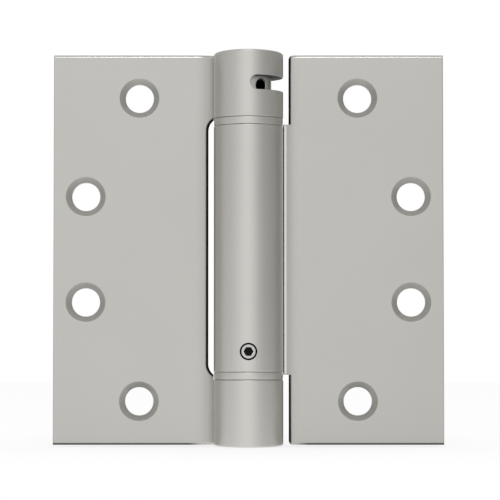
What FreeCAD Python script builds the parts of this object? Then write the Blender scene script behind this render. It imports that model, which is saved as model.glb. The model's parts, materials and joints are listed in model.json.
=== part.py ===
import FreeCAD, Part
import math
import os

# Spring loaded door hinge, full mortise, three knuckles, opened flat.
# Millimetres. X runs across the leaves, Y away from the viewer, Z up the hinge axis.
# The origin is on the hinge axis at mid height; the jamb leaf lies at -X, the door leaf at +X.

Vector = FreeCAD.Vector
ORIGIN = Vector(0, 0, 0)
RIGHT = Vector(1, 0, 0)
BACK = Vector(0, 1, 0)
UP = Vector(0, 0, 1)
JAMB_SIDE = -1
DOOR_SIDE = 1
SNAP = 1e-6

# Leaves, each rolled from one sheet
hinge_height = 114.3
open_width = 114.3
leaf_thickness = 3.4
leaf_face_offset = 1.0
swage_radius = 14.3
edge_round = 0.8
inner_edge_gap = 1.65
inner_corner_radius = 1.2
relief_corner_radius = 3.5
relief_corner_gap = 0.35
tongue_rise = 0.8

# Barrel and knuckles
barrel_diameter = 20.3
barrel_length = 71.8
seam_gap = 0.25
end_overhang = 0.5
end_chamfer = 0.6
flare_length = 2.4
end_float = 0.1
edge_break = 0.25
ring_height = 2.1
ring_inset = 0.1
ring_bore_clearance = 0.1

# Screw holes, four in each leaf
screw_hole_diameter = 8.3
countersink_diameter = 11.6
countersink_angle = 82.0
inner_screw_inset = 25.15
inner_screw_spacing = 88.9
outer_screw_inset = 9.45
outer_screw_spacing = 31.0

# Tension window in the top knuckle and the holes of the spindle behind it
window_height = 4.2
window_drop = 9.55
window_start_angle = 3.0
window_end_angle = 152.0
tension_hole_diameter = 3.4
tension_hole_chamfer = 0.4
tension_hole_depth = 4.2
tension_hole_count = 4
tension_hole_angle = 34.0
tension_hole_below_window = 0.6

# Spindle, pin, plugs and bushings
collar_clearance = 0.07
running_clearance = 0.05
press_clearance = 0.02
bushing_wall = 1.0
upper_bushing_length = 6.6
lower_bushing_length = 5.6
pin_diameter = 6.0
pin_chamfer = 0.5
pin_hole_clearance = 0.3
spindle_socket_depth = 12.0
plug_socket_depth = 12.0
plug_chamfer = 0.4
cap_thickness = 3.0
cap_recess = 0.25

# Torsion spring of rectangular wire and its anchor
end_fitting_length = 11.7
wire_width = 2.2
wire_height = 3.4
coil_gap = 0.6
coil_clearance = 0.45
coil_end_clearance = 0.3
coil_steps_per_turn = 12
tang_length = 4.6
tang_clearance = 0.25
tang_angle = 90.0
anchor_clearance = 0.05

# Set screw that fixes the spring anchor in the barrel
set_screw_diameter = 4.84
set_screw_clearance = 0.08
set_screw_rise = 5.9
set_screw_recess = 0.4
set_screw_bite = 1.1
set_screw_chamfer = 0.4
socket_across_flats = 2.5
socket_depth = 1.9

# Worked out from the driving sizes
barrel_radius = barrel_diameter / 2
bore_radius = barrel_radius - leaf_thickness
bend_radius = swage_radius + leaf_thickness
leaf_back = leaf_face_offset + leaf_thickness
leaf_end = hinge_height / 2
leaf_edge = open_width / 2
inner_edge = barrel_radius + inner_edge_gap
barrel_end = barrel_length / 2
tongue_end = barrel_end + tongue_rise
ring_low = barrel_end + end_float
ring_high = ring_low + ring_height
knuckle_low = ring_high + end_float
knuckle_high = leaf_end + end_overhang
shoulder = knuckle_low + end_float
cap_high = knuckle_high - cap_recess
cap_low = cap_high - cap_thickness
plug_end = cap_low - end_float
plug_radius = bore_radius - press_clearance
journal_radius = plug_radius - bushing_wall - running_clearance
pin_radius = pin_diameter / 2
pin_fit_radius = pin_radius + running_clearance
lower_bushing_radius = pin_fit_radius + bushing_wall
spring_end = barrel_end - end_fitting_length
coil_end = spring_end - coil_end_clearance
coil_outer = bore_radius - coil_clearance
coil_inner = coil_outer - wire_width
coil_middle = (coil_outer + coil_inner) / 2
tang_end = coil_end + tang_length
anchor_radius = bore_radius - anchor_clearance
anchor_low = end_float - barrel_end
set_screw_radius = set_screw_diameter / 2
set_screw_level = set_screw_rise - barrel_end
set_screw_tip = anchor_radius - set_screw_bite
window_middle = knuckle_high - window_drop
tension_hole_level = window_middle - tension_hole_below_window


def facing(azimuth):
    """Outward direction at an azimuth counted from the front (-Y) towards +X."""
    turn = math.radians(azimuth)
    return Vector(math.sin(turn), -math.cos(turn), 0)


def around(angle):
    """Outward direction at an angle counted from +X towards +Y."""
    turn = math.radians(angle)
    return Vector(math.cos(turn), math.sin(turn), 0)


def turned(profile):
    """Solid of revolution about the hinge axis from (radius, z) corners."""
    corners = [Vector(radius, 0, z) for radius, z in profile]
    face = Part.Face(Part.makePolygon(corners + corners[:1]))
    return face.revolve(ORIGIN, UP, 360)


def turned_ring(outer, inner, low, high):
    """Plain ring about the hinge axis."""
    return turned([(inner, low), (outer, low), (outer, high), (inner, high)])


def turned_plug(radius, low, high, chamfer):
    """Solid plug on the hinge axis with its upper edge chamfered."""
    return turned([(0, low), (radius, low), (radius, high - chamfer), (radius - chamfer, high), (0, high)])


def section_arc(centre, radius, start, end):
    """Arc in the XY plane between two angles."""
    points = [centre + around(angle) * radius for angle in (start, (start + end) / 2, end)]
    return Part.Arc(*points).toShape()


def outline_arc(centre_x, centre_z, radius, start, end):
    """Arc in the XZ plane between two angles counted from +X towards +Z."""
    flat = section_arc(Vector(centre_x, centre_z, 0), radius, start, end)
    return flat.rotated(ORIGIN, RIGHT, 90)


def outline_run(start, end):
    """Straight edge in the XZ plane between two (x, z) points."""
    return Part.makeLine(Vector(start[0], 0, start[1]), Vector(end[0], 0, end[1]))


def face_through(edges):
    """Face bounded by edges in order, with straight lines where one ends short of the next."""
    path = []
    for index, edge in enumerate(edges):
        last = edges[index - 1].lastVertex(True).Point
        first = edge.firstVertex(True).Point
        if last.distanceToPoint(first) > SNAP:
            path.append(Part.makeLine(last, first))
        path.append(edge)
    return Part.Face(Part.Wire(path))


def swage_bend():
    """Centre of the swage bend on the +X side, and the angle it turns the sheet through."""
    reach = barrel_radius + swage_radius
    rise = leaf_face_offset + bend_radius
    return Vector(math.sqrt(reach ** 2 - rise ** 2), rise, 0), math.degrees(math.acos(rise / reach))


def plate_section():
    """Section of a leaf on the +X side, from its outer edge through the swage bend to the curl."""
    centre, turn = swage_bend()
    joint = 270 - turn
    return face_through([
        Part.makeLine(Vector(leaf_edge, leaf_back, 0), Vector(leaf_edge, leaf_face_offset, 0)),
        section_arc(centre, bend_radius, 270, joint),
        section_arc(centre, swage_radius, joint, 270),
    ])


def curl(low, high, low_chamfer, high_chamfer):
    """Knuckle on the +X side: the sheet rolled from the end of the swage bend round to the seam."""
    centre, turn = swage_bend()
    reach = centre.Length
    seam_reach = bend_radius + seam_gap
    seam_foot = (reach ** 2 + barrel_radius ** 2 - seam_reach ** 2) / (2 * reach)
    sweep = 360 - math.degrees(math.acos(seam_foot / barrel_radius))
    profile = [
        (bore_radius, low),
        (barrel_radius - low_chamfer, low),
        (barrel_radius, low + low_chamfer),
        (barrel_radius, high - high_chamfer),
        (barrel_radius - high_chamfer, high),
        (bore_radius, high),
        (bore_radius, low),
    ]
    outward = around(90 - turn)
    wall = Part.Face(Part.makePolygon([outward * radius + UP * z for radius, z in profile]))
    return wall.revolve(ORIGIN, UP, sweep)


def jamb_outline():
    """Blank with a knuckle at each end, flared to its full width, and a relief for the barrel."""
    far = -2 * barrel_radius
    flare_radius = (end_overhang ** 2 + flare_length ** 2) / (4 * end_overhang)
    flare_turn = math.degrees(math.asin(flare_length / 2 / flare_radius))
    flare_start = barrel_radius + flare_length
    flare_low = leaf_end + flare_radius
    flare_high = knuckle_high - flare_radius
    relief_x = inner_edge - relief_corner_radius
    relief_end = barrel_radius + relief_corner_gap
    relief_turn = math.degrees(math.acos((relief_end - relief_x) / relief_corner_radius))
    relief_z = knuckle_low - relief_corner_radius * math.sin(math.radians(relief_turn))
    return [
        outline_run((leaf_edge, -leaf_end), (leaf_edge, leaf_end)),
        outline_arc(flare_start, flare_low, flare_radius, 270, 270 - flare_turn),
        outline_arc(barrel_radius, flare_high, flare_radius, 90 - flare_turn, 90),
        outline_run((far, knuckle_high), (far, knuckle_low)),
        outline_arc(relief_x, relief_z, relief_corner_radius, relief_turn, 0),
        outline_arc(relief_x, -relief_z, relief_corner_radius, 0, -relief_turn),
        outline_run((far, -knuckle_low), (far, -knuckle_high)),
        outline_arc(barrel_radius, -flare_high, flare_radius, 270, 270 + flare_turn),
        outline_arc(flare_start, -flare_low, flare_radius, 90 + flare_turn, 90),
    ]


def door_outline():
    """Blank whose middle tongue, stepped to clear the rings, rolls into the spring barrel."""
    far = -2 * barrel_radius
    tongue_x = barrel_radius + relief_corner_gap
    corner_x = inner_edge + inner_corner_radius
    corner_z = leaf_end - inner_corner_radius
    return [
        outline_run((leaf_edge, -leaf_end), (leaf_edge, leaf_end)),
        outline_arc(corner_x, corner_z, inner_corner_radius, 90, 180),
        outline_run((inner_edge, tongue_end), (tongue_x, tongue_end)),
        outline_run((tongue_x, barrel_end), (far, barrel_end)),
        outline_run((far, -barrel_end), (tongue_x, -barrel_end)),
        outline_run((tongue_x, -tongue_end), (inner_edge, -tongue_end)),
        outline_arc(corner_x, -corner_z, inner_corner_radius, 180, 270),
    ]


def swaged_plate(outline):
    """Sheet on the +X side up to the start of its curl, trimmed to the outline of its blank."""
    depth = 4 * barrel_radius
    sheet = plate_section().extrude(UP * (2 * knuckle_high)).translated(UP * -knuckle_high)
    blank = face_through(outline).extrude(BACK * depth).translated(BACK * (-depth / 2))
    return sheet.common(blank).Solids[0]


def is_front_face(surface):
    """True for the side of the sheet that faces the viewer."""
    if isinstance(surface, Part.Plane):
        return abs(surface.Axis.y) > 1 - SNAP and abs(surface.Position.y - leaf_face_offset) < SNAP
    is_upright = isinstance(surface, Part.Cylinder) and abs(surface.Axis.z) > 1 - SNAP
    return is_upright and abs(surface.Radius - bend_radius) < SNAP


def is_trimmed_face(surface):
    """True for the walls that the outline of the blank leaves."""
    if isinstance(surface, Part.Plane):
        return abs(surface.Axis.y) < SNAP
    return isinstance(surface, Part.Cylinder) and abs(surface.Axis.y) > 1 - SNAP


def front_rim(plate, square_low, square_high):
    """Edges between the front of the sheet and its trimmed walls, but for those left square."""
    picked = []
    for edge in plate.Edges:
        surfaces = [face.Surface for face in plate.ancestorsOfType(edge, Part.Face)]
        middle = edge.valueAt((edge.FirstParameter + edge.LastParameter) / 2)
        at_curl = square_low - SNAP < abs(middle.z) < square_high + SNAP
        at_outer_edge = abs(middle.x - leaf_edge) < SNAP
        on_rim = any(map(is_front_face, surfaces)) and any(map(is_trimmed_face, surfaces))
        if on_rim and not at_curl and not at_outer_edge:
            picked.append(edge)
    return picked


def screw_holes(side):
    """Countersunk holes of one leaf: a wide-set inner pair and a close-set outer pair."""
    hole_radius = screw_hole_diameter / 2
    sink_radius = countersink_diameter / 2
    sink_depth = (sink_radius - hole_radius) / math.tan(math.radians(countersink_angle / 2))
    columns = (
        (leaf_edge - inner_screw_inset, inner_screw_spacing),
        (leaf_edge - outer_screw_inset, outer_screw_spacing),
    )
    holes = []
    for distance, spacing in columns:
        for level in (-spacing / 2, spacing / 2):
            foot = Vector(side * distance, leaf_face_offset, level)
            holes.append(Part.makeCone(sink_radius, hole_radius, sink_depth, foot, BACK))
            holes.append(Part.makeCylinder(hole_radius, 2 * leaf_thickness, foot, BACK))
    return holes


def tension_window():
    """Slot with round ends, milled round the top knuckle."""
    half = window_height / 2
    reach = 2 * barrel_radius
    end_turn = math.degrees(math.asin(half / barrel_radius))
    first = window_start_angle + end_turn
    last = window_end_angle - end_turn
    low = UP * (window_middle - half)
    high = UP * (window_middle + half)
    edge = facing(first) * reach
    sweep = Part.Face(Part.makePolygon([low, low + edge, high + edge, high, low]))
    cutters = [sweep.revolve(ORIGIN, UP, last - first)]
    for azimuth in (first, last):
        cutters.append(Part.makeCylinder(half, reach, UP * window_middle, facing(azimuth)))
    return cutters


def make_jamb_leaf():
    plate = swaged_plate(jamb_outline())
    plate = plate.makeFillet(edge_round, front_rim(plate, knuckle_low, knuckle_low))
    top_knuckle = curl(knuckle_low, knuckle_high, edge_break, end_chamfer)
    bottom_knuckle = curl(-knuckle_high, -knuckle_low, end_chamfer, edge_break)
    leaf = plate.fuse([top_knuckle, bottom_knuckle]).mirror(ORIGIN, RIGHT)
    return leaf.cut(screw_holes(JAMB_SIDE) + tension_window())


def make_door_leaf():
    plate = swaged_plate(door_outline())
    plate = plate.makeFillet(edge_round, front_rim(plate, barrel_end, tongue_end))
    leaf = plate.fuse(curl(-barrel_end, barrel_end, edge_break, edge_break))
    hole_radius = set_screw_radius + set_screw_clearance
    tapped_hole = Part.makeCylinder(hole_radius, 2 * barrel_radius, UP * set_screw_level, facing(0))
    return leaf.cut(screw_holes(DOOR_SIDE) + [tapped_hole])


def bearing_ring(low, high):
    """Thrust ring between the barrel and a knuckle."""
    bore = journal_radius + ring_bore_clearance
    return turned_ring(barrel_radius - ring_inset, bore, low, high)


def make_upper_bearing_ring():
    return bearing_ring(ring_low, ring_high)


def make_lower_bearing_ring():
    return bearing_ring(-ring_high, -ring_low)


def make_top_cap():
    return turned_plug(plug_radius, cap_low, cap_high, plug_chamfer)


def make_bottom_cap():
    return make_top_cap().rotated(ORIGIN, RIGHT, 180)


def wire_tang(level, clearance, angle, length):
    """Straight end of the spring wire, parallel to the axis, rising from a level."""
    width = wire_width + 2 * clearance
    breadth = wire_height + 2 * clearance
    corner = Vector(coil_inner - clearance, -breadth / 2, level)
    return Part.makeBox(width, breadth, length, corner).rotated(ORIGIN, UP, angle)


def tang_half_turn():
    return math.degrees(wire_height / 2 / coil_middle)


def make_tension_spindle():
    """Collar in the top knuckle, journal in the barrel, pin socket and slot for the spring tang."""
    collar_radius = bore_radius - collar_clearance
    socket_end = spring_end + spindle_socket_depth
    spindle = turned([
        (pin_fit_radius, spring_end),
        (journal_radius, spring_end),
        (journal_radius, shoulder),
        (collar_radius, shoulder),
        (collar_radius, plug_end - plug_chamfer),
        (collar_radius - plug_chamfer, plug_end),
        (0, plug_end),
        (0, socket_end),
        (pin_fit_radius, socket_end),
    ])
    hole_radius = tension_hole_diameter / 2
    cutters = []
    for number in range(tension_hole_count):
        outward = facing(tension_hole_angle + number * 360 / tension_hole_count)
        floor = UP * tension_hole_level + outward * (collar_radius - tension_hole_depth)
        mouth = UP * tension_hole_level + outward * (collar_radius - tension_hole_chamfer)
        mouth_radius = hole_radius + 2 * tension_hole_chamfer
        cutters.append(Part.makeCylinder(hole_radius, collar_radius, floor, outward))
        cutters.append(Part.makeCone(hole_radius, mouth_radius, 2 * tension_hole_chamfer, mouth, outward))
    slot_angle = tang_angle + tang_half_turn()
    slot_length = tang_end + tang_clearance - spring_end
    cutters.append(wire_tang(spring_end, tang_clearance, slot_angle, slot_length))
    return spindle.cut(cutters)


def make_pivot_plug():
    """Plug pressed into the bottom knuckle, with a spigot for the ring and a socket for the pin."""
    socket_radius = pin_radius + press_clearance
    socket_end = -ring_low - plug_socket_depth
    return turned([
        (0, -plug_end),
        (plug_radius, -plug_end),
        (plug_radius, -shoulder),
        (journal_radius, -shoulder),
        (journal_radius, -ring_low),
        (socket_radius, -ring_low),
        (socket_radius, socket_end),
        (0, socket_end),
    ])


def make_hinge_pin():
    """Pin through the spring, pressed in the plug and free in the spindle."""
    low = press_clearance - ring_low - plug_socket_depth
    high = spring_end + spindle_socket_depth - coil_end_clearance
    return turned_plug(pin_radius, low, high, pin_chamfer)


def make_upper_bushing():
    high = barrel_end - end_float
    bore = journal_radius + running_clearance
    return turned_ring(plug_radius, bore, high - upper_bushing_length, high)


def make_lower_bushing():
    high = anchor_low + lower_bushing_length
    return turned_ring(lower_bushing_radius, pin_fit_radius, anchor_low, high)


def make_spring_anchor():
    """Plug in the barrel that holds the lower end of the spring and carries the lower bushing."""
    seat_radius = lower_bushing_radius + press_clearance
    seat_end = anchor_low + lower_bushing_length + press_clearance
    hole_radius = pin_radius + pin_hole_clearance
    anchor = turned([
        (seat_radius, anchor_low),
        (anchor_radius, anchor_low),
        (anchor_radius, -spring_end),
        (hole_radius, -spring_end),
        (hole_radius, seat_end),
        (seat_radius, seat_end),
    ])
    slot_angle = tang_angle - tang_half_turn()
    slot_low = -tang_end - tang_clearance
    slot = wire_tang(slot_low, tang_clearance, slot_angle, -spring_end - slot_low)
    dimple_radius = set_screw_radius + set_screw_clearance
    dimple_floor = UP * set_screw_level + facing(0) * (set_screw_tip - press_clearance)
    dimple = Part.makeCylinder(dimple_radius, barrel_radius, dimple_floor, facing(0))
    return anchor.cut([slot, dimple])


def make_anchor_set_screw():
    """Flat-ended screw with a hexagon socket, sunk just below the barrel."""
    length = barrel_radius - set_screw_recess - set_screw_tip
    screw = turned_plug(set_screw_radius, 0, length, set_screw_chamfer)
    corner_radius = socket_across_flats / math.sqrt(3)
    corners = [around(60 * number) * corner_radius + UP * length for number in range(7)]
    socket = Part.Face(Part.makePolygon(corners)).extrude(UP * -socket_depth)
    screw = screw.cut(socket).rotated(ORIGIN, RIGHT, 90)
    return screw.translated(facing(0) * set_screw_tip + UP * set_screw_level)


def wire_corners(step, pitch, low):
    """Corners of the wire's section after a number of steps up the left-handed coil."""
    outward = around(tang_angle - 360 * step / coil_steps_per_turn)
    base = UP * (low + pitch * step / coil_steps_per_turn)
    top = base + UP * wire_height
    inner = outward * coil_inner
    outer = outward * coil_outer
    return [base + inner, base + outer, top + outer, top + inner]


def make_torsion_spring():
    """Left-handed coil that winds up as the door opens, with a straight tang at each end."""
    room = 2 * coil_end - wire_height
    turns = int(room / (wire_height + coil_gap))
    pitch = room / turns
    steps = turns * coil_steps_per_turn
    sections = [wire_corners(step, pitch, -coil_end) for step in range(steps + 1)]
    facets = [Part.Face(Part.makePolygon(ends + ends[:1])) for ends in (sections[0], sections[-1])]
    for start, end in zip(sections, sections[1:]):
        for side in range(4):
            follow = (side + 1) % 4
            near = [start[side], start[follow], end[follow]]
            far = [start[side], end[follow], end[side]]
            for corners in (near, far):
                facets.append(Part.Face(Part.makePolygon(corners + corners[:1])))
    coil = Part.Solid(Part.makeShell(facets))
    half = tang_half_turn()
    length = tang_length + wire_height / 2
    lower_tang = wire_tang(-tang_end, 0, tang_angle - half, length)
    upper_tang = wire_tang(tang_end - length, 0, tang_angle + half, length)
    return coil.fuse([lower_tang, upper_tang])


MAKERS = {
    "jamb_leaf": make_jamb_leaf,
    "door_leaf": make_door_leaf,
    "upper_bearing_ring": make_upper_bearing_ring,
    "lower_bearing_ring": make_lower_bearing_ring,
    "top_cap": make_top_cap,
    "bottom_cap": make_bottom_cap,
    "tension_spindle": make_tension_spindle,
    "pivot_plug": make_pivot_plug,
    "hinge_pin": make_hinge_pin,
    "upper_bushing": make_upper_bushing,
    "lower_bushing": make_lower_bushing,
    "spring_anchor": make_spring_anchor,
    "anchor_set_screw": make_anchor_set_screw,
    "torsion_spring": make_torsion_spring,
}


def main():
    os.makedirs("parts", exist_ok=True)
    for name, make in MAKERS.items():
        shape = make()
        shape.exportStep("parts/%s.step" % name)


if __name__ == "__main__":
    main()
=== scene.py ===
import bmesh
import bpy
import json
import math
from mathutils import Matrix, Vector


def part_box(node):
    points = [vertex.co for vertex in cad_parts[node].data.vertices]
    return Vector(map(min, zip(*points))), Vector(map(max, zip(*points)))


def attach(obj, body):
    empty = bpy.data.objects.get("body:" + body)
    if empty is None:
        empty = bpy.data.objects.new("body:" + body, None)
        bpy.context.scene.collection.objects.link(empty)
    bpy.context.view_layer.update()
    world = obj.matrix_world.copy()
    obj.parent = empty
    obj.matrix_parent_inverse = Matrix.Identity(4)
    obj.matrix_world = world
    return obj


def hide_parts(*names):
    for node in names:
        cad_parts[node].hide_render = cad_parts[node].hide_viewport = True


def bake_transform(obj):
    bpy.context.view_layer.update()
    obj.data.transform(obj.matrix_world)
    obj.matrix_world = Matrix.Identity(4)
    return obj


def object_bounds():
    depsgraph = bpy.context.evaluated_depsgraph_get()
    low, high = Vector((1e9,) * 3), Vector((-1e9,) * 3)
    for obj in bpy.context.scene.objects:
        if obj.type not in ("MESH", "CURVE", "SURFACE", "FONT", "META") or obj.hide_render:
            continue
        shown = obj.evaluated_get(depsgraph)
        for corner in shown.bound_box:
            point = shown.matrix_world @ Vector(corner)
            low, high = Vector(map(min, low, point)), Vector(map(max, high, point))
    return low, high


# Spring loaded door hinge in satin nickel, opened flat. Metres, in the frame of the solids.
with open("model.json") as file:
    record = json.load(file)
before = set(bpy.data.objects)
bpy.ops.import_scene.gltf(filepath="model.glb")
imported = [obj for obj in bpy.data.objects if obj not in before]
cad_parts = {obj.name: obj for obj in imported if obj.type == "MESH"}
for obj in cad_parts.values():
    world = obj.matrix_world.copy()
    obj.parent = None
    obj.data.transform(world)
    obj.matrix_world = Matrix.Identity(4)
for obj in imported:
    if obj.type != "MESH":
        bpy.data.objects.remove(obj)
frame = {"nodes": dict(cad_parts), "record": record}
cad_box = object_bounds()

MM = 0.001
FULL_TURN = 2 * math.pi
JAMB_SIDE = -1
DOOR_SIDE = 1
NEAR = 0.001 * MM

# Shares of a face's normal along Y
FLUSH = 0.99
FACING = 0.9
SLOPING = 0.3
ASIDE = 0.1

# Sizes read from the frame
MOUNTS = {mount["name"]: mount for mount in frame["record"]["mounts"]}
door_low, door_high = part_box("door_leaf")
ring_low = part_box("upper_bearing_ring")[0].z
ring_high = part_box("upper_bearing_ring")[1].z
ring_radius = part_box("upper_bearing_ring")[1].x
knuckle_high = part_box("jamb_leaf")[1].z
collar_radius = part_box("tension_spindle")[1].x
screw_low, screw_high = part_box("anchor_set_screw")
tang_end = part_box("torsion_spring")[1].z
barrel_radius = -door_low.y
leaf_edge = door_high.x
leaf_end = door_high.z
leaf_back = MOUNTS["door_leaf_back"]["pos_m"][1]

# Sizes of the rolled sheet
leaf_thickness = 3.4 * MM
swage_radius = 14.3 * MM
inner_edge_gap = 1.65 * MM
inner_corner_radius = 1.2 * MM
relief_corner_radius = 3.5 * MM
relief_corner_gap = 0.08 * MM
relief_top = 37.9 * MM
relief_bottom = -36.6 * MM
tongue_rise = 0.8 * MM
tongue_gap = 0.05 * MM
crown_reach = 5.0 * MM
seam_gap = 0.25 * MM
end_float = 0.1 * MM
edge_round = 0.8 * MM
end_round = 0.4 * MM
seam_break = 0.32 * MM
edge_break = 0.25 * MM
fine_break = 0.12 * MM
tongue_run = 8.0 * MM
root_land_start = 0.32 * MM
root_land_end = 1.0 * MM
root_step = 0.05 * MM

# Sizes of holes, window and rings
countersink_radius = 5.8 * MM
countersink_angle = math.radians(82)
window_height = 4.2 * MM
window_middle = 48.1 * MM
window_start = math.radians(3)
window_end = math.radians(152)
set_screw_hole_radius = 2.5 * MM
tension_hole_level = 47.5 * MM
tension_hole_reach = 2.6 * MM
ring_bore = 5.78 * MM
land_inset = 0.8 * MM
land_rise = 0.08 * MM

# Sizes of the torsion spring
wire_width = 2.2 * MM
wire_height = 3.4 * MM
wire_round = 0.3 * MM
coil_gap = 0.6 * MM
coil_clearance = 0.45 * MM
coil_steps_per_turn = 64
coil_start = math.pi / 2
tang_length = 4.6 * MM

# Steps of the rounded and rolled shapes
bend_slices = 6
tongue_slices = 10
curl_slices = 96
drill_sides = 64
countersink_sides = 96
ring_steps = 128
smooth_angle = math.radians(35)

# Worked out from those
leaf_face = leaf_back - leaf_thickness
bore_radius = barrel_radius - leaf_thickness
bend_radius = swage_radius + leaf_thickness
inner_edge = barrel_radius + inner_edge_gap
barrel_end = ring_low - end_float
tongue_end = barrel_end + tongue_rise
tongue_x = barrel_radius + tongue_gap
relief_end = barrel_radius + relief_corner_gap
relief_x = inner_edge - relief_corner_radius
relief_turn = math.acos((relief_end - relief_x) / relief_corner_radius)
relief_rise = relief_corner_radius * math.sin(relief_turn)
set_screw_level = (screw_low.z + screw_high.z) / 2
knuckle_low = ring_high + end_float
bend_reach = barrel_radius + swage_radius
bend_y = leaf_face + bend_radius
bend_x = math.sqrt(bend_reach ** 2 - bend_y ** 2)
bend_turn = math.acos(bend_y / bend_reach)
curl_start = math.pi / 2 - bend_turn
bend_turn_front = math.asin((bend_x - inner_edge) / bend_radius)
bend_turn_back = math.asin((bend_x - inner_edge) / swage_radius)
seam_reach = bend_radius + seam_gap
seam_foot = (bend_reach ** 2 + barrel_radius ** 2 - seam_reach ** 2) / (2 * bend_reach)
curl_sweep = FULL_TURN - math.acos(seam_foot / barrel_radius)
joint_x = inner_edge - tongue_run
strip_end = joint_x - curl_sweep * barrel_radius
root_low = barrel_radius + root_land_start
root_high = barrel_radius + root_land_end
window_reach = 0.6 * window_height
coil_end = tang_end - tang_length
coil_outer = bore_radius - coil_clearance
coil_inner = coil_outer - wire_width
coil_room = 2 * coil_end - wire_height
coil_turns = int(coil_room / (wire_height + coil_gap))
half_turns = coil_turns / 2
half_rise = coil_room / 2
tang_turn = wire_height / (coil_outer + coil_inner)


# Modelling by hand, one tool a function

def begin():
    """Leaves edit mode and clears the selection, so that the next piece starts alone."""
    if bpy.context.object and bpy.context.object.mode == "EDIT":
        bpy.ops.object.mode_set(mode="OBJECT")
    bpy.ops.object.select_all(action="DESELECT")


def name_piece(name):
    """Names the active object and its mesh, and applies its place to the mesh."""
    piece = bpy.context.object
    piece.name = name
    piece.data.name = name
    bpy.ops.object.transform_apply(location=True, rotation=True, scale=True)
    return piece


def upright_sheet(name, low_x, high_x, low_z, high_z, y):
    """Rectangle that faces the viewer."""
    begin()
    middle = ((low_x + high_x) / 2, y, (low_z + high_z) / 2)
    bpy.ops.mesh.primitive_plane_add(size=1, location=middle, rotation=(math.pi / 2, 0, 0))
    bpy.context.object.scale = (high_x - low_x, high_z - low_z, 1)
    return name_piece(name)


def edit(piece):
    """Opens a piece in edit mode by itself."""
    activate(piece)
    bpy.ops.object.mode_set(mode="EDIT")


def pick(kind, test):
    """Selects the vertices or edges of the open piece that pass a test."""
    bpy.ops.mesh.select_mode(type=kind)
    bpy.ops.mesh.select_all(action="DESELECT")
    mesh = bmesh.from_edit_mesh(bpy.context.object.data)
    mesh.normal_update()
    items = {"VERT": mesh.verts, "EDGE": mesh.edges}[kind]
    chosen = [item for item in items if test(item)]
    for item in chosen:
        item.select_set(True)
    bmesh.update_edit_mesh(bpy.context.object.data)


def middle_of(edge):
    return (edge.verts[0].co + edge.verts[1].co) / 2


def close_to(value, target):
    return abs(value - target) < NEAR


def extrude(x=0.0, y=0.0, z=0.0):
    bpy.ops.mesh.extrude_region_move(TRANSFORM_OT_translate={"value": (x, y, z)})


def move(x=0.0, y=0.0, z=0.0):
    bpy.ops.transform.translate(value=(x, y, z))


def round_corners(offset, segments):
    """Rounds the selected corners of an outline."""
    bpy.ops.mesh.bevel(offset=offset, segments=segments, affect="VERTICES", clamp_overlap=False)


def round_edges(offset, segments):
    """Rounds the selected edges."""
    bpy.ops.mesh.bevel(offset=offset, segments=segments, affect="EDGES", clamp_overlap=False)


def slice_across(positions):
    """Cuts the open piece by planes across X."""
    for x in positions:
        bpy.ops.mesh.select_all(action="SELECT")
        bpy.ops.mesh.bisect(plane_co=(x, 0, 0), plane_no=(1, 0, 0))


def spread(start, end, count):
    """Evenly spaced values from start to end."""
    return [start + (end - start) * step / count for step in range(count + 1)]


def merge_and_face_out():
    """Merges doubles and turns every face of the open piece outwards."""
    bpy.ops.mesh.select_all(action="SELECT")
    bpy.ops.mesh.remove_doubles(threshold=NEAR)
    bpy.ops.mesh.normals_make_consistent(inside=False)


def keep_outline():
    """Takes the faces of the open piece away and keeps their edges."""
    bpy.ops.mesh.select_all(action="SELECT")
    bpy.ops.mesh.delete(type="ONLY_FACE")


def activate(piece):
    """Makes a piece the only selected one."""
    begin()
    piece.select_set(True)
    bpy.context.view_layer.objects.active = piece


def turn_about_axis(piece, angle):
    """Turns a piece about the hinge axis."""
    activate(piece)
    piece.rotation_euler.z = angle
    bpy.ops.object.transform_apply(location=False, rotation=True, scale=False)


def combine(piece, other, operation):
    """Takes another mesh out of a piece, or welds it on."""
    activate(piece)
    tool = piece.modifiers.new("combine", "BOOLEAN")
    tool.operation = operation
    tool.solver = "EXACT"
    tool.object = other
    bpy.ops.object.modifier_apply(modifier=tool.name)
    bpy.data.objects.remove(other)


def cut(piece, cutter):
    combine(piece, cutter, "DIFFERENCE")


def weld(piece, other):
    combine(piece, other, "UNION")


def finish_surface(piece):
    """Smooth shading with flat faces kept flat and sharp edges kept sharp."""
    activate(piece)
    bpy.ops.object.shade_smooth_by_angle(angle=smooth_angle)
    weights = piece.modifiers.new("weights", "WEIGHTED_NORMAL")
    weights.keep_sharp = True
    weights.weight = 100
    bpy.ops.object.modifier_apply(modifier=weights.name)


# Cutters

def drill_end(name, centre, radius, sides):
    """Round front face of a drill."""
    begin()
    bpy.ops.mesh.primitive_circle_add(
        vertices=sides,
        radius=radius,
        fill_type="NGON",
        location=centre,
        rotation=(math.pi / 2, 0, 0),
    )
    return name_piece(name)


def round_cutter(name, centre, radius, depth):
    """Straight drill that goes in from the front."""
    drill = drill_end(name, centre, radius, drill_sides)
    edit(drill)
    bpy.ops.mesh.select_all(action="SELECT")
    extrude(y=depth)
    merge_and_face_out()
    begin()
    return drill


def countersink_cutter(x, z, hole_radius):
    """Drill and countersink in one, standing clear of both faces of the sheet."""
    clear = 1.0 * MM
    slope = math.tan(countersink_angle / 2)
    sink_depth = (countersink_radius - hole_radius) / slope
    mouth_radius = countersink_radius + clear * slope
    drill = drill_end("countersink", (x, leaf_face - clear, z), mouth_radius, countersink_sides)
    edit(drill)
    bpy.ops.mesh.select_all(action="SELECT")
    extrude(y=clear + sink_depth)
    share = hole_radius / mouth_radius
    bpy.ops.transform.resize(value=(share, 1, share), center_override=(x, 0, z))
    extrude(y=leaf_thickness)
    merge_and_face_out()
    begin()
    return drill


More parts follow.
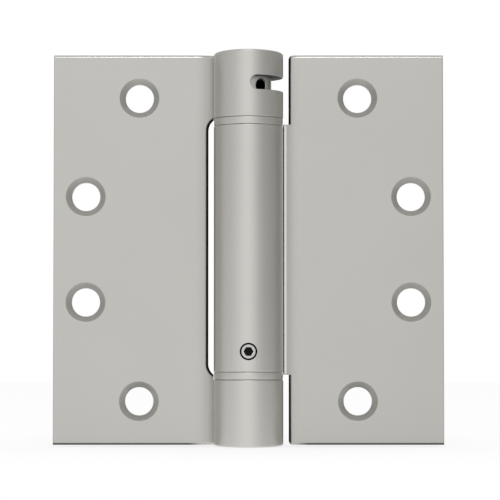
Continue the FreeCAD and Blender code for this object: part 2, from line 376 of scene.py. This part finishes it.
def window_cutter():
    """Slot with round ends for the flat strip of the top knuckle."""
    first_x = joint_x - barrel_radius * (math.pi + bend_turn - window_start)
    last_x = joint_x - barrel_radius * (math.pi + bend_turn - window_end)
    low = window_middle - window_height / 2
    high = window_middle + window_height / 2
    slot = upright_sheet("window_slot", first_x, last_x, low, high, leaf_face - leaf_thickness)
    edit(slot)
    pick("VERT", lambda vert: True)
    round_corners(window_height / 2 - NEAR, segments=12)
    bpy.ops.mesh.select_all(action="SELECT")
    extrude(y=3 * leaf_thickness)
    merge_and_face_out()
    begin()
    return slot


# Leaves, blanked flat and then rolled

def at_front_rim(edge):
    """True for an edge between the front of the blank and one of its walls."""
    sides = sorted(face.normal.y for face in edge.link_faces)
    return len(sides) == 2 and sides[0] < -FACING and abs(sides[1]) < ASIDE


def at_back_rim(edge):
    """True for an edge between the back of the blank and one of its walls."""
    sides = sorted(face.normal.y for face in edge.link_faces)
    return len(sides) == 2 and sides[1] > FACING and abs(sides[0]) < ASIDE


def is_plate_rim(square_x):
    """Test for the front rim of the plate beyond a distance from the axis, without its outer edge."""
    def test(edge):
        spot = middle_of(edge)
        return at_front_rim(edge) and spot.x > square_x and not close_to(spot.x, leaf_edge)
    return test


def is_outer_edge(edge):
    """True for the front edge on the outside of the leaf."""
    return at_front_rim(edge) and close_to(middle_of(edge).x, leaf_edge)


def is_curl_rim(level):
    """Test for the outer edges of the curl that lie at a height."""
    def test(edge):
        spot = middle_of(edge)
        return at_back_rim(edge) and spot.x < joint_x and close_to(abs(spot.z), level)
    return test


def is_countersink_mouth(edge):
    """True for the edges where the countersinks meet the front."""
    spot = middle_of(edge)
    sides = sorted(face.normal.y for face in edge.link_faces)
    in_cone = len(sides) == 2 and sides[0] < -FLUSH and -FACING < sides[1] < -SLOPING
    return in_cone and close_to(spot.y, leaf_face) and spot.x > bend_x


def is_window_lip(edge):
    """True for the edges of the window on the outside of the knuckle."""
    spot = middle_of(edge)
    return at_back_rim(edge) and spot.x < joint_x and abs(spot.z - window_middle) < window_reach


def slice_level(levels):
    """Cuts the open piece by planes across Z."""
    for level in levels:
        bpy.ops.mesh.select_all(action="SELECT")
        bpy.ops.mesh.bisect(plane_co=(0, 0, level), plane_no=(0, 0, 1))


def pick_inner_edges(x, test):
    """Selects the edges along an inner edge of the open blank whose height passes a test."""
    pick("EDGE", lambda edge: close_to(middle_of(edge).x, x) and test(middle_of(edge).z))


def join_faces():
    """Makes one face of all the flat faces of the open blank."""
    bpy.ops.mesh.select_all(action="SELECT")
    bpy.ops.mesh.dissolve_limited(angle_limit=math.radians(1), use_dissolve_boundaries=False)


def jamb_blank():
    """Flat blank of the jamb leaf: a plate with a relief, and a knuckle's strip at each end."""
    relief_tangent = relief_corner_radius * math.tan(relief_turn / 2)
    corner_drop = relief_rise - relief_tangent
    blank = upright_sheet("jamb_leaf_rolled", inner_edge, leaf_edge, -leaf_end, leaf_end, leaf_face)
    edit(blank)
    slice_level((-knuckle_low, relief_bottom, relief_top, knuckle_low))
    pick_inner_edges(inner_edge, lambda z: z > relief_top or z < relief_bottom)
    extrude(x=relief_end - inner_edge)
    pick_inner_edges(relief_end, lambda z: abs(z) > knuckle_low)
    extrude(x=strip_end - relief_end)
    for level, drop in ((relief_top, -corner_drop), (relief_bottom, corner_drop)):
        pick("VERT", lambda vert: close_to(vert.co.x, inner_edge) and close_to(vert.co.z, level))
        move(z=drop)
    join_faces()
    pick("VERT", lambda vert: close_to(vert.co.x, inner_edge) and abs(vert.co.z) < knuckle_low)
    round_corners(relief_tangent, segments=10)
    return blank


def door_blank():
    """Flat blank of the door leaf: a plate with one wide strip for the spring barrel."""
    blank = upright_sheet("door_leaf_rolled", inner_edge, leaf_edge, -leaf_end, leaf_end, leaf_face)
    edit(blank)
    slice_level((-tongue_end, -barrel_end, barrel_end, tongue_end))
    pick_inner_edges(inner_edge, lambda z: abs(z) < tongue_end)
    extrude(x=tongue_x - inner_edge)
    pick_inner_edges(tongue_x, lambda z: abs(z) < barrel_end)
    extrude(x=strip_end - tongue_x)
    join_faces()
    pick("VERT", lambda vert: close_to(vert.co.x, inner_edge) and close_to(abs(vert.co.z), leaf_end))
    round_corners(inner_corner_radius, segments=8)
    return blank


def thicken_and_round(blank, square_x, end_rounds):
    """Gives the blank its gauge and rounds its front rim and the ends of its curl."""
    edit(blank)
    bpy.ops.mesh.select_all(action="SELECT")
    extrude(y=leaf_thickness)
    merge_and_face_out()
    slice_across([joint_x])
    pick("EDGE", is_plate_rim(square_x))
    round_edges(edge_round, segments=5)
    pick("EDGE", is_outer_edge)
    round_edges(edge_break, segments=3)
    for level, rounding in end_rounds.items():
        pick("EDGE", is_curl_rim(level))
        round_edges(rounding, segments=4)
    begin()


def drill_screw_holes(blank, names):
    """Countersunk holes where the mounts of a leaf have them."""
    for name in names:
        mount = MOUNTS[name]
        x = abs(mount["pos_m"][0])
        half = mount["dims"]["spacing_y_mm"] * MM / 2
        for z in (-half, half):
            cut(blank, countersink_cutter(x, z, mount["dims"]["hole_r_mm"] * MM))
    edit(blank)
    pick("EDGE", is_countersink_mouth)
    round_edges(fine_break, segments=2)
    begin()


def bend_front(x):
    """Depth of the front of the bend at a distance from the axis."""
    return bend_y - math.sqrt(bend_radius ** 2 - (bend_x - x) ** 2)


def before_rolling(x):
    """Where a place on the front of the bend lies on the flat blank."""
    turn = math.asin((bend_x - x) / bend_radius)
    return inner_edge - tongue_run * (turn - bend_turn_front) / (bend_turn - bend_turn_front)


def rolled_place(place, side):
    """Where a point of the flat blank lies once the sheet is swaged and rolled."""
    x, y, z = place
    depth = y - leaf_face
    share = depth / leaf_thickness
    if inner_edge <= x < bend_x:
        front = bend_front(x)
        back = bend_y - math.sqrt(swage_radius ** 2 - (bend_x - x) ** 2)
        y = front + (back - front) * share
    elif joint_x <= x < inner_edge:
        run = (inner_edge - x) / tongue_run
        turn = bend_turn_front + (bend_turn_back - bend_turn_front) * share
        turn += (bend_turn - turn) * run
        radius = bend_radius - depth
        x = bend_x - radius * math.sin(turn)
        y = bend_y - radius * math.cos(turn)
        on_land = root_low - NEAR < x < root_high + NEAR
        if side == DOOR_SIDE and close_to(depth, 0) and on_land:
            y = bend_front(root_high)
    elif x < joint_x:
        turn = curl_start + (joint_x - x) / barrel_radius
        radius = bore_radius + depth
        x = radius * math.cos(turn)
        y = radius * math.sin(turn)
        end_share = max(0.0, 1 - (leaf_end - abs(z)) / crown_reach)
        front_share = max(0.0, -math.sin(turn))
        z += math.copysign((knuckle_high - leaf_end) * end_share * front_share, z)
    return Vector((side * x, y, z))


def roll(blank, side):
    """Slices the blank where it bends and rolls it to its side of the hinge."""
    edit(blank)
    slice_across(spread(bend_x, inner_edge, bend_slices))
    slice_across(spread(inner_edge, joint_x, tongue_slices))
    slice_across([before_rolling(x) for x in (root_high, root_low, root_low - root_step)])
    slice_across(spread(joint_x, strip_end, curl_slices)[1:-1])
    mesh = bmesh.from_edit_mesh(blank.data)
    for vert in mesh.verts:
        vert.co = rolled_place(vert.co, side)
    bmesh.update_edit_mesh(blank.data)
    merge_and_face_out()
    begin()


def make_jamb_leaf():
    leaf = jamb_blank()
    thicken_and_round(leaf, relief_end + NEAR, {leaf_end: end_round, knuckle_low: seam_break})
    drill_screw_holes(leaf, ("jamb_inner_screws", "jamb_outer_screws"))
    cut(leaf, window_cutter())
    edit(leaf)
    pick("EDGE", is_window_lip)
    round_edges(fine_break, segments=2)
    roll(leaf, JAMB_SIDE)
    finish_surface(leaf)
    return leaf


def make_door_leaf():
    leaf = door_blank()
    thicken_and_round(leaf, inner_edge - NEAR, {barrel_end: seam_break})
    drill_screw_holes(leaf, ("door_inner_screws", "door_outer_screws"))
    roll(leaf, DOOR_SIDE)
    mouth = (0, -2 * barrel_radius, set_screw_level)
    cut(leaf, round_cutter("tapped_hole", mouth, set_screw_hole_radius, 2 * barrel_radius))
    finish_surface(leaf)
    return leaf


# Bearing rings

def make_bearing_ring(name, low, high):
    """Thrust ring with broken outer corners and a raised land inside on both faces."""
    land_edge = ring_radius - land_inset
    ring = upright_sheet(name, ring_bore, land_edge, low - land_rise, high + land_rise, 0)
    edit(ring)
    slice_level((low, high))
    pick_inner_edges(land_edge, lambda z: low < z < high)
    extrude(x=land_inset)
    join_faces()
    pick("VERT", lambda vert: close_to(vert.co.x, ring_radius))
    round_corners(seam_break, segments=3)
    keep_outline()
    bpy.ops.mesh.select_all(action="SELECT")
    bpy.ops.mesh.spin(steps=ring_steps, angle=FULL_TURN, center=(0, 0, 0), axis=(0, 0, 1))
    merge_and_face_out()
    finish_surface(ring)
    return ring


# Torsion spring, in two halves that meet at mid height

def wind_coil(name, low, angle):
    """Half of the left-handed coil, wound up from a level and an angle round the axis."""
    coil = upright_sheet(name, coil_inner, coil_outer, low, low + wire_height, 0)
    edit(coil)
    pick("VERT", lambda vert: True)
    round_corners(wire_round, segments=3)
    keep_outline()
    begin()
    turn_about_axis(coil, angle)
    winding = coil.modifiers.new("winding", "SCREW")
    winding.axis = "Z"
    winding.angle = -FULL_TURN * half_turns
    winding.screw_offset = half_rise
    winding.steps = round(half_turns * coil_steps_per_turn)
    winding.render_steps = winding.steps
    bpy.ops.object.modifier_apply(modifier=winding.name)
    edit(coil)
    bpy.ops.mesh.select_all(action="SELECT")
    bpy.ops.mesh.fill_holes(sides=0)
    merge_and_face_out()
    begin()
    return coil


def make_tang(low, angle):
    """Straight end of the wire, parallel to the axis."""
    high = low + tang_length + wire_height / 2
    tang = upright_sheet("tang", coil_inner, coil_outer, low, high, -wire_height / 2)
    edit(tang)
    bpy.ops.mesh.select_all(action="SELECT")
    extrude(y=wire_height)
    merge_and_face_out()
    pick("EDGE", lambda edge: abs(edge.verts[0].co.z - edge.verts[1].co.z) > tang_length)
    round_edges(wire_round, segments=3)
    begin()
    turn_about_axis(tang, angle)
    return tang


def make_lower_spring():
    spring = wind_coil("torsion_spring_lower", -coil_end, coil_start)
    weld(spring, make_tang(-tang_end, coil_start - tang_turn))
    finish_surface(spring)
    return spring


def make_upper_spring():
    middle_angle = coil_start - FULL_TURN * half_turns
    spring = wind_coil("torsion_spring_upper", -wire_height / 2, middle_angle)
    weld(spring, make_tang(coil_end - wire_height / 2, coil_start + tang_turn))
    finish_surface(spring)
    return spring


# Shader maths on sockets

class Value:
    """A number on a socket; an expression on it adds Math nodes."""

    def __init__(self, shader, socket):
        self.shader = shader
        self.socket = socket

    def math(self, operation, *inputs):
        return self.shader.node("ShaderNodeMath", {"operation": operation}, dict(enumerate(inputs)))

    def __add__(self, other):
        return self.math("ADD", self, other)

    def __sub__(self, other):
        return self.math("SUBTRACT", self, other)

    def __rsub__(self, other):
        return self.math("SUBTRACT", other, self)

    def __mul__(self, other):
        return self.math("MULTIPLY", self, other)

    def __truediv__(self, other):
        return self.math("DIVIDE", self, other)

    def __rtruediv__(self, other):
        return self.math("DIVIDE", other, self)

    __radd__ = __add__
    __rmul__ = __mul__

    def larger(self, other):
        return self.math("MAXIMUM", self, other)

    def absolute(self):
        return self.math("ABSOLUTE", self)

    def root(self):
        return self.math("SQRT", self)


class Shader:
    """A node tree that is written as expressions."""

    def __init__(self, owner):
        owner.use_nodes = True
        self.tree = owner.node_tree
        self.tree.nodes.clear()

    def node(self, kind, settings, values, output=0):
        """Adds a node, sets it up, sets or links its sockets, and gives one of its outputs."""
        made = self.tree.nodes.new(kind)
        for key, value in settings.items():
            setattr(made, key, value)
        for key, value in values.items():
            if isinstance(value, Value):
                self.tree.links.new(value.socket, made.inputs[key])
            else:
                made.inputs[key].default_value = value
        return Value(self, made.outputs[output]) if made.outputs else None

    def place(self):
        """Object coordinates as a vector."""
        return self.node("ShaderNodeTexCoord", {}, {}, "Object")

    def axes(self, vector):
        """The three values of a vector."""
        return [self.node("ShaderNodeSeparateXYZ", {}, {0: vector}, axis) for axis in "XYZ"]

    def noise(self, vector, scale, detail=2.0, stretch=(1.0, 1.0, 1.0)):
        """Noise from 0 to 1, drawn out along the axes by a stretch."""
        drawn = self.node("ShaderNodeVectorMath", {"operation": "MULTIPLY"}, {0: vector, 1: stretch})
        values = {"Vector": drawn, "Scale": scale, "Detail": detail}
        return self.node("ShaderNodeTexNoise", {}, values)

    def ease(self, value, low, high):
        """Smooth step from 0 at low to 1 at high."""
        settings = {"interpolation_type": "SMOOTHSTEP"}
        return self.node("ShaderNodeMapRange", settings, {0: value, 1: low, 2: high, 3: 0.0, 4: 1.0})

    def ramp(self, value, low, high):
        """Straight rise from 0 at low to 1 at high."""
        return self.node("ShaderNodeMapRange", {}, {0: value, 1: low, 2: high, 3: 0.0, 4: 1.0})

    def mix(self, share, first, second):
        """Colour between two colours."""
        return self.node("ShaderNodeMix", {"data_type": "RGBA"}, {0: share, 6: first, 7: second}, 2)

    def bump(self, height, strength, distance):
        """Normal that follows a height."""
        values = {"Strength": strength, "Distance": distance, "Height": height}
        return self.node("ShaderNodeBump", {}, values)

    def principled(self, values):
        """Closes a material with a Principled surface."""
        self.close(self.node("ShaderNodeBsdfPrincipled", {}, values))

    def seen(self):
        """1 for rays of the camera, of a reflection or through glass."""
        kinds = ("Is Camera Ray", "Is Glossy Ray", "Is Transmission Ray")
        camera, glossy, glass = [self.node("ShaderNodeLightPath", {}, {}, kind) for kind in kinds]
        return camera.larger(glossy).larger(glass)

    def close(self, surface, kind="ShaderNodeOutputMaterial"):
        self.node(kind, {}, {0: surface})


def colour(red, green, blue):
    return (red, green, blue, 1.0)


# Finishes

flat_plate = (colour(0.555, 0.545, 0.518), colour(0.590, 0.579, 0.550))
# lighter tone for the barrel: a painted highlight standing in for its brighter reflection
barrel_highlight_plate = (colour(0.622, 0.610, 0.578), colour(0.658, 0.646, 0.612))
# near-white colour for the painted highlight at the root of the door leaf
painted_highlight_plate = colour(0.80, 0.79, 0.77)
# near-black colour for painted shade on inner edges, window walls, tapped hole and groove
painted_shade_black = colour(0.03, 0.03, 0.03)
# near-black colour for painted shade in the spindle's bores and the set screw's socket
painted_shade_steel = colour(0.012, 0.012, 0.012)
inner_steel = (colour(0.40, 0.40, 0.39), colour(0.50, 0.50, 0.48))
collar_steel = (colour(0.52, 0.515, 0.495), colour(0.60, 0.59, 0.565))
socket_steel = (colour(0.55, 0.545, 0.525), colour(0.62, 0.61, 0.59))
tempered_steel = (colour(0.10, 0.10, 0.105), colour(0.16, 0.16, 0.165))
natural_nylon = (colour(0.68, 0.66, 0.58), colour(0.76, 0.74, 0.67))

# Roughness, and what adds to it or polishes it away
plate_roughness = 0.38
grain_roughness = 0.06
cloud_roughness = 0.04
barrel_polish = 0.05
rim_polish = 0.18
sink_polish = 0.12
painted_shade_roughness = 0.45
steel_roughness = 0.28
socket_roughness = 0.3
wire_roughness = 0.35
mark_roughness = 0.1
nylon_roughness = 0.4
nylon_cloud_roughness = 0.15
mark_depth = 0.02 * MM

# Start and end of the blend from one finish to another
barrel_blend = (10.6 * MM, 13.0 * MM)
burnish_blend = (leaf_end - edge_round, leaf_end - 0.8 * edge_round)
sink_blend = (countersink_radius - 0.1 * MM, countersink_radius)
front_blend = (leaf_face + 1.3 * MM, leaf_face + 2.0 * MM)
relief_start_blend = (barrel_radius, barrel_radius + 0.3 * MM)
relief_shade_blend = (0.45 * MM, 0.95 * MM)
window_wall_blend = (barrel_radius - 0.3 * MM, barrel_radius - 0.15 * MM)
window_edge_blend = (window_height / 2, 0.55 * window_height)
beside_knuckle_blend = (tongue_end - 0.1 * MM, tongue_end + 0.1 * MM)
inner_edge_blend = (0.35 * MM, 0.9 * MM)
tapped_hole_blend = (0.01 * MM, 0.06 * MM)
barrel_front_blend = (0.0, bore_radius / 2)
groove_start_blend = (-2.0 * MM, -1.5 * MM)
groove_end_blend = (root_land_start - 0.1 * MM, root_land_start)
groove_depth_blend = (0.0, 1.0 * MM)
root_front_blend = (0.3 * MM, 0.6 * MM)
land_start_blend = (root_land_start - 0.05 * MM, root_land_start)
land_end_blend = (root_land_end, root_land_end + 0.15 * MM)
tension_hole_blend = (collar_radius - 0.7 * MM, collar_radius - 0.45 * MM)
tension_level_blend = (tension_hole_reach, tension_hole_reach + 0.2 * MM)
screw_face_blend = (0.03 * MM, 0.12 * MM)
# how much of the painted shade fades behind the front rim, and its share on the window walls
shade_lost_behind = 0.7
window_shade_share = 0.8


def satin_plate(name, painted_shade_share=None, highlight_share=None):
    """Satin plate over steel, with a lighter tone on the barrel as a painted highlight, painted shade
    where a shade share is given, and a painted highlight where a highlight share is given.
    """
    material = bpy.data.materials.new(name)
    shader = Shader(material)
    place = shader.place()
    x, y, z = shader.axes(place)
    cloud = shader.noise(place, scale=45.0, detail=3.0)
    grain = shader.noise(place, scale=5200.0, stretch=(1.0, 1.0, 0.25))
    on_barrel = 1 - shader.ease((x * x + y * y).root(), *barrel_blend)
    burnished = (1 - on_barrel) * shader.ease(z.absolute(), *burnish_blend)
    sunk = machined_sinks(shader, x, z)
    # painted highlight: the barrel takes a lighter tone than the flat leaf
    flat = shader.mix(cloud, *flat_plate)
    barrel_highlight = shader.mix(cloud, *barrel_highlight_plate)
    base = shader.mix(on_barrel, flat, barrel_highlight)
    roughness = plate_roughness + grain_roughness * grain + cloud_roughness * cloud
    roughness = roughness - barrel_polish * on_barrel - rim_polish * burnished - sink_polish * sunk
    # painted highlight: near-white colour where a highlight share is given
    if highlight_share:
        base = shader.mix(highlight_share(shader, x, y, z), base, painted_highlight_plate)
    # painted shade: near-black colour, and more roughness, where a shade share is given
    if painted_shade_share:
        painted_shade = painted_shade_share(shader, x, y, z)
        base = shader.mix(painted_shade, base, painted_shade_black)
        roughness = roughness + painted_shade_roughness * painted_shade
    shader.principled({
        "Base Color": base,
        "Metallic": 1.0,
        "Roughness": roughness,
        "Normal": shader.bump(grain, strength=0.05, distance=mark_depth),
    })
    return material


def machined_sinks(shader, x, z):
    """Share of the smoother cones of the countersinks, which lie alike on both leaves."""
    share = 0.0
    for name in ("jamb_inner_screws", "jamb_outer_screws"):
        mount = MOUNTS[name]
        across = x.absolute() - abs(mount["pos_m"][0])
        along = z.absolute() - mount["dims"]["spacing_y_mm"] * MM / 2
        distance = (across * across + along * along).root()
        cone = 1 - shader.ease(distance, *sink_blend)
        share = cone.larger(share)
    return share


def near_front(shader, y):
    """Share of painted shade through the gauge of an inner edge: full at the front rim, thin behind."""
    return 1 - shade_lost_behind * shader.ease(y, *front_blend)


def painted_relief_shade(shader, x, y, z):
    """Share of painted shade along the relief of the jamb leaf and on the walls of its window."""
    middle = (relief_top + relief_bottom) / 2
    corner_z = (relief_top - relief_bottom) / 2 - relief_rise
    across = (x.absolute() - relief_x).larger(0.0)
    along = ((z - middle).absolute() - corner_z).larger(0.0)
    distance = (across * across + along * along).root() - relief_corner_radius
    beside = shader.ease(x.absolute(), *relief_start_blend)
    relief = beside * (1 - shader.ease(distance, *relief_shade_blend)) * near_front(shader, y)
    radius = (x * x + y * y).root()
    in_wall = 1 - shader.ease(radius, *window_wall_blend)
    at_window = 1 - shader.ease((z - window_middle).absolute(), *window_edge_blend)
    return relief.larger(window_shade_share * in_wall * at_window)


def painted_inner_edge_shade(shader, x, y, z):
    """Share of painted shade along the door leaf's inner edges, in its tapped hole and in its groove.
    """
    beside_knuckle = shader.ease(z.absolute(), *beside_knuckle_blend)
    at_edge = 1 - shader.ease(x - inner_edge, *inner_edge_blend)
    edge = beside_knuckle * at_edge * near_front(shader, y)
    rise = z - set_screw_level
    from_hole = (x * x + rise * rise).root() - set_screw_hole_radius
    hole_shade = (1 - shader.ease(from_hole, *tapped_hole_blend)) * shader.ease(0 - y, *barrel_front_blend)
    beyond = x - barrel_radius
    at_land = shader.ease(beyond, *groove_end_blend)
    behind_barrel = shader.ease(beyond, *groove_start_blend) * (1 - at_land)
    # painted shade in the groove between the barrel and the door leaf
    groove_shade = on_root_front(shader, x, y) * behind_barrel * shader.ease(y, *groove_depth_blend)
    return edge.larger(hole_shade).larger(groove_shade)


def on_root_front(shader, x, y):
    """Share of the front of the door leaf's bend."""
    root_x = x - bend_x
    root_y = y - bend_y
    from_front = ((root_x * root_x + root_y * root_y).root() - bend_radius).absolute()
    return 1 - shader.ease(from_front, *root_front_blend)


def painted_root_highlight(shader, x, y, z):
    """Share of the painted highlight along the barrel, on the modelled land at the root of the door
    leaf.
    """
    beyond = x - barrel_radius
    line = shader.ease(beyond, *land_start_blend)
    line = line * (1 - shader.ease(beyond, *land_end_blend))
    beside_barrel = 1 - shader.ease(z.absolute(), barrel_end, tongue_end)
    return on_root_front(shader, x, y) * line * beside_barrel


def turned_steel(name, tones, roughness, shade_share=None):
    """Plated steel with faint turning marks round the axis, dark where it is shaded."""
    material = bpy.data.materials.new(name)
    shader = Shader(material)
    place = shader.place()
    marks = shader.noise(place, scale=900.0, stretch=(0.05, 0.05, 6.0))
    base = shader.mix(marks, *tones)
    if shade_share:
        base = shader.mix(shade_share(shader, *shader.axes(place)), base, painted_shade_steel)
    shader.principled({
        "Base Color": base,
        "Metallic": 1.0,
        "Roughness": roughness + mark_roughness * marks,
        "Normal": shader.bump(marks, strength=0.08, distance=mark_depth),
    })
    return material


def painted_tension_hole_shade(shader, x, y, z):
    """Share of the painted shade inside the bores of the spindle."""
    radius = (x * x + y * y).root()
    deep = 1 - shader.ease(radius, *tension_hole_blend)
    from_level = (z - tension_hole_level).absolute()
    return deep * (1 - shader.ease(from_level, *tension_level_blend))


def painted_screw_socket_shade(shader, x, y, z):
    """Share of the painted shade on the flank and in the socket behind the face of the set screw."""
    return shader.ease(y - screw_low.y, *screw_face_blend)


def bushing_nylon():
    material = bpy.data.materials.new("bushing_nylon")
    shader = Shader(material)
    cloud = shader.noise(shader.place(), scale=300.0, detail=3.0)
    shader.principled({
        "Base Color": shader.mix(cloud, *natural_nylon),
        "Roughness": nylon_roughness + nylon_cloud_roughness * cloud,
    })
    return material


def dress(piece, material):
    """Gives a piece or a CAD node one material."""
    if not piece.material_slots:
        piece.data.materials.append(material)
    piece.material_slots[0].material = material


# Studio

white = colour(1.0, 1.0, 1.0)
black = colour(0.0, 0.0, 0.0)
camera_x = 0.44 * MM
camera_y = -750 * MM
camera_z = -36.5 * MM
target_z = -0.2 * MM
frame_width = 146.45 * MM
sensor_width = 36.0
floor_size = 12.0
floor_paint = colour(0.92, 0.92, 0.92)
floor_glow = 0.7

# Tone of the tent's walls on the left, and its changes to the right, between azimuths in degrees
left_tone = 0.60
wall_changes = ((0.10, -110, -52), (0.30, -52, -12), (-0.50, 6, 42), (-0.08, 42, 75))
back_change = 0.35
back_blend = (math.radians(145), math.radians(175))

# Sizes and tones of the rest of the tent
tent_radius = 1.2
tent_height = 1.2
tent_lift = 0.05 * MM
tent_sides = 96
near_floor_blend = (0.12, 0.35)
near_floor_tone = 0.97
near_floor_share = 0.68
# painted shadow on the tent's floor under the leaves, seen in their bottom rims
under_leaf_blend = (13 * MM, 18 * MM)
under_leaf_reach_blend = (0.06, 0.09)
under_leaf_depth_blend = (4 * MM, 6 * MM)
under_leaf_painted_shadow = 0.8
rise_blend = (0.0, 0.3)
rise_shade = 0.1
overhead_blend = (0.8, 1.15)
overhead_tone = 0.6


def make_camera():
    """Camera at the height and distance that the photo's perspective gives."""
    target = Vector((camera_x, leaf_face, target_z))
    eye = Vector((camera_x, camera_y, camera_z))
    data = bpy.data.cameras.new("camera")
    data.sensor_width = sensor_width
    data.lens = data.sensor_width * (target - eye).length / frame_width
    data.clip_start = 0.01
    data.clip_end = 100.0
    camera = bpy.data.objects.new("camera", data)
    bpy.context.scene.collection.objects.link(camera)
    camera.location = eye
    camera.rotation_euler = (target - eye).to_track_quat("-Z", "Y").to_euler()
    bpy.context.scene.camera = camera


def make_world():
    """Plain white all round."""
    world = bpy.data.worlds.new("studio")
    bpy.context.scene.world = world
    shader = Shader(world)
    background = shader.node("ShaderNodeBackground", {}, {"Color": white, "Strength": 1.0})
    shader.close(background, "ShaderNodeOutputWorld")


def make_floor():
    """Pale floor that stays white to the camera and keeps a soft shadow."""
    begin()
    bpy.ops.mesh.primitive_plane_add(size=floor_size, location=(0, 0, cad_box[0].z))
    floor = name_piece("floor")
    material = bpy.data.materials.new("floor_paint")
    shader = Shader(material)
    paint = shader.node("ShaderNodeBsdfDiffuse", {}, {"Color": floor_paint})
    glow = shader.node("ShaderNodeEmission", {}, {"Color": white, "Strength": 1.0})
    surface = shader.node("ShaderNodeMixShader", {}, {0: floor_glow * shader.seen(), 1: paint, 2: glow})
    shader.close(surface)
    dress(floor, material)


def tent_cloth():
    """Glowing cloth: bright in front, falling off to the sides and above, with a painted shadow under
    the leaves that their bottom rims reflect.
    """
    material = bpy.data.materials.new("tent_cloth")
    shader = Shader(material)
    x, y, z = shader.axes(shader.place())
    azimuth = x.math("ARCTAN2", x, 0 - y)
    reach = (x * x + y * y).root()
    side = left_tone
    for change, start, end in wall_changes:
        side = side + change * shader.ramp(azimuth, math.radians(start), math.radians(end))
    side = side + back_change * shader.ramp(azimuth.absolute(), *back_blend)
    near_floor = 1 - shader.ease(reach, *near_floor_blend)
    near_hinge = 1 - shader.ease(reach, *under_leaf_reach_blend)
    under_leaf = shader.ease(x.absolute(), *under_leaf_blend) * near_hinge
    painted_shadow_under_hinge = under_leaf * (1 - shader.ease((y - leaf_back).absolute(), *under_leaf_depth_blend))
    overhead = shader.ease(z, *overhead_blend)
    wall = side + near_floor_share * near_floor * (near_floor_tone - side)
    wall = wall * (1 - under_leaf_painted_shadow * painted_shadow_under_hinge)
    wall = wall * (1 - rise_shade * shader.ramp(z, *rise_blend))
    wall = wall * (1 - overhead) + overhead_tone * overhead
    glow = shader.mix(wall, black, white)
    shader.close(shader.node("ShaderNodeEmission", {}, {"Color": glow, "Strength": 1.0}))
    return material


def make_tent():
    """Light tent whose cloth shows only in the metal."""
    middle = cad_box[0].z + tent_lift + tent_height / 2
    begin()
    bpy.ops.mesh.primitive_cylinder_add(
        vertices=tent_sides, radius=tent_radius, depth=tent_height, location=(0, 0, middle)
    )
    tent = name_piece("light_tent")
    dress(tent, tent_cloth())
    for ray in ("camera", "diffuse", "transmission", "volume_scatter", "shadow"):
        setattr(tent, "visible_" + ray, False)


def make_lamp(name, place, size, energy):
    """Square soft lamp that points at the hinge."""
    data = bpy.data.lights.new(name, "AREA")
    data.shape = "SQUARE"
    data.size = size
    data.energy = energy
    lamp = bpy.data.objects.new(name, data)
    bpy.context.scene.collection.objects.link(lamp)
    lamp.location = place
    lamp.rotation_euler = (-Vector(place)).to_track_quat("-Z", "Y").to_euler()


# The hinge

nickel = satin_plate("satin_nickel")
jamb_nickel = satin_plate("satin_nickel_jamb", painted_relief_shade)
door_nickel = satin_plate("satin_nickel_door", painted_inner_edge_shade, painted_root_highlight)
plain_steel = turned_steel("plated_steel", inner_steel, steel_roughness)
spindle_steel = turned_steel("spindle_steel", collar_steel, steel_roughness, painted_tension_hole_shade)
screw_steel = turned_steel("screw_steel", socket_steel, socket_roughness, painted_screw_socket_shade)
spring_wire = turned_steel("spring_wire", tempered_steel, wire_roughness)
nylon = bushing_nylon()

upper_ring = make_bearing_ring("upper_bearing_ring_turned", ring_low, ring_high)
lower_ring = make_bearing_ring("lower_bearing_ring_turned", -ring_high, -ring_low)
new_pieces = {
    "jamb_leaf": (make_jamb_leaf(), "jamb", jamb_nickel),
    "door_leaf": (make_door_leaf(), "door", door_nickel),
    "upper_bearing_ring": (upper_ring, "jamb", nickel),
    "lower_bearing_ring": (lower_ring, "jamb", nickel),
}
for node, (piece, body, material) in new_pieces.items():
    dress(piece, material)
    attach(piece, body)
    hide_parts(node)

lower_spring = make_lower_spring()
upper_spring = make_upper_spring()
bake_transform(lower_spring)
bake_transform(upper_spring)
for spring in (lower_spring, upper_spring):
    dress(spring, spring_wire)
    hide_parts("torsion_spring")

node_finishes = {
    "top_cap": nickel,
    "bottom_cap": nickel,
    "tension_spindle": spindle_steel,
    "pivot_plug": plain_steel,
    "hinge_pin": plain_steel,
    "spring_anchor": plain_steel,
    "upper_bushing": nylon,
    "lower_bushing": nylon,
    "anchor_set_screw": screw_steel,
}
for node, material in node_finishes.items():
    dress(frame["nodes"][node], material)

make_camera()
make_world()
make_floor()
make_tent()
make_lamp("softbox", place=(0.0, -0.8, 0.68), size=0.28, energy=1.2)
bpy.context.scene.view_settings.view_transform = "Standard"
